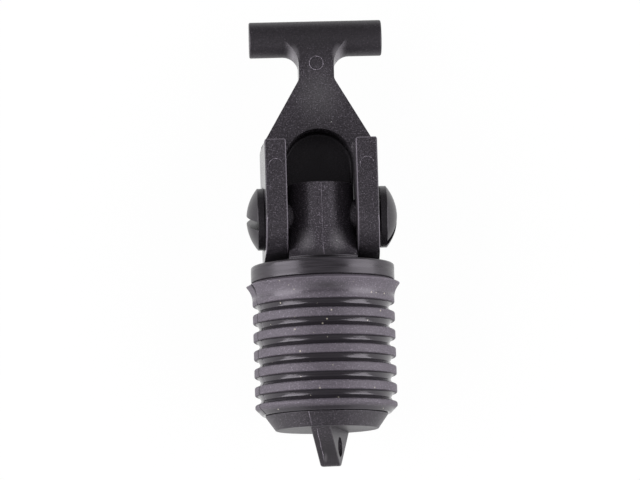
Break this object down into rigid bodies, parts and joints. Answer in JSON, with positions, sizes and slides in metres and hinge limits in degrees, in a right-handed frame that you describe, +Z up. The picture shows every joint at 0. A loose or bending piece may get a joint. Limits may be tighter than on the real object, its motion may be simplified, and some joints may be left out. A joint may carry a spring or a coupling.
{
  "type": "expanding boat drain plug with cam lever",
  "caption": "Expanding drain plug for a boat: a cam lever with a T-bar presses a collar onto a ribbed rubber sleeve above a foot with a lanyard eye.",
  "frame": {"origin": "on the floor, under the middle of the plug's length and width, with the plug lying on its back", "axes": "+Y along the plug towards the T-bar, +Z up through the front of the lever, X along the lever's pivot"},
  "size_m": [0.0487, 0.1436, 0.0484],
  "materials": {
    "rubber": "moulded black rubber, matt ribs",
    "collar_plastic": "turned, semi-gloss, fine streaks",
    "post_plastic": "fine moulded grain",
    "foot_plastic": "satin moulded",
    "lever_plastic": "fine moulded grain",
    "screw_plastic": "satin moulded"
  },
  "bodies": {
    "plug": {"post": "post_plastic", "foot": "foot_plastic", "rubber_sleeve": "rubber", "pivot_screw_left": "screw_plastic", "pivot_screw_right": "screw_plastic"},
    "lever": {"lever": "lever_plastic"},
    "collar": {"pressure_collar": "collar_plastic"}
  },
  "joints": [
    {"name": "lever_fold", "type": "hinge", "parent": "plug", "child": "lever", "pos_m": [0, 0.0071, 0.0241], "axis": [1, 0, 0], "range_deg": [0, 90]},
    {"name": "collar_slide", "type": "slide", "parent": "plug", "child": "collar", "axis": [0, -1, 0], "range_m": [0, 0.002], "deforming": ["rubber_sleeve"]}
  ],
  "couplings": [
    {"joint": "collar_slide", "follows": "lever_fold", "m_per_rad": 0.0012732}
  ]
}
